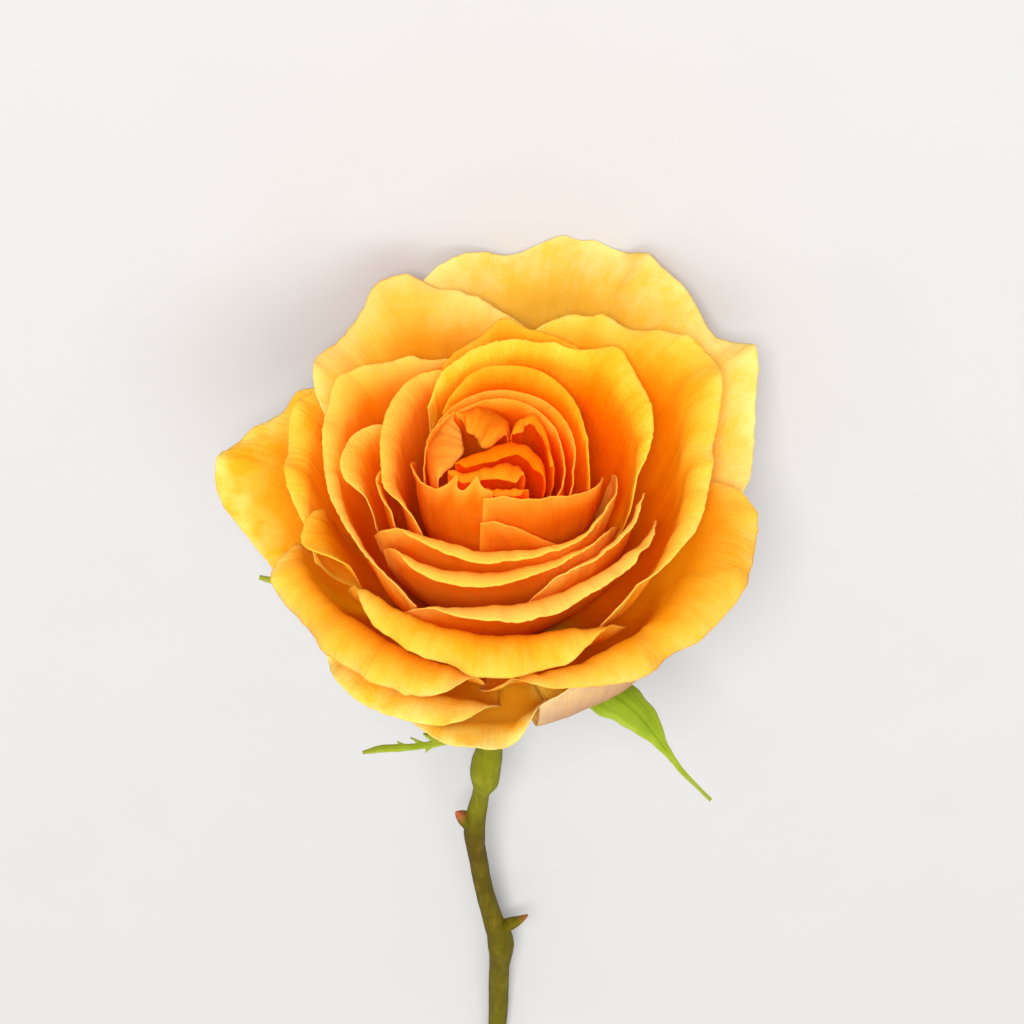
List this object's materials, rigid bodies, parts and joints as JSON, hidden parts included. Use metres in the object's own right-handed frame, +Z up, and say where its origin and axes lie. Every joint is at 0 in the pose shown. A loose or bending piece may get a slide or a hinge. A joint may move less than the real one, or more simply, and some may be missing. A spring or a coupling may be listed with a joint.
{
  "type": "cut garden rose",
  "caption": "Cut garden rose in full bloom, its orange-yellow cupped petals round a folded heart, with narrow green sepals and a bare stem, lying on its side.",
  "frame": {"origin": "the middle of the lying flower's extent, on the table it lies on", "axes": "+Z up, +Y from the cut end of the stem towards the face of the flower, +X to the flower's right for someone who looks into its face with the stem below"},
  "size_m": [0.0914, 0.215, 0.0786],
  "materials": {
    "guard_petals": "matte",
    "outer_petals": "matte",
    "middle_petals": "matte",
    "inner_petals": "matte",
    "heart_petals": "matte",
    "sepals": "matte",
    "stem": "satin"
  },
  "bodies": {
    "root": {"guard_petal_back": "guard_petals", "guard_petal_left": "guard_petals", "guard_petal_low_left": "guard_petals", "guard_petal_near": "guard_petals", "guard_petal_low_right": "guard_petals", "outer_petal_low_right": "outer_petals", "outer_petal_low_left": "outer_petals", "outer_petal_left": "outer_petals", "outer_petal_back_left": "outer_petals", "outer_petal_right": "outer_petals", "outer_petal_left_cup": "outer_petals", "outer_petal_near": "outer_petals", "middle_petal_left": "middle_petals", "middle_petal_near": "middle_petals", "middle_petal_near_right": "middle_petals", "middle_petal_back": "middle_petals", "middle_petal_back_right": "middle_petals", "middle_petal_left_tip": "middle_petals", "inner_petal_near_outer": "inner_petals", "inner_petal_near": "inner_petals", "inner_petal_left_slip": "inner_petals", "inner_petal_left": "inner_petals", "inner_petal_back": "inner_petals", "bud_petal_right": "heart_petals", "bud_petal_low_right": "heart_petals", "bud_petal_left": "heart_petals", "bud_petal_back_outer": "heart_petals", "bud_petal_back": "heart_petals", "heart_petal_left": "heart_petals", "heart_petal_top": "heart_petals", "heart_petal_centre": "heart_petals", "heart_petal_right": "heart_petals", "heart_petal_near_left": "heart_petals", "heart_petal_near": "heart_petals", "sepal_left": "sepals", "sepal_near_left": "sepals", "sepal_near_right": "sepals", "sepal_back_right": "sepals", "sepal_back_left": "sepals", "stem": "stem"}
  },
  "joints": []
}
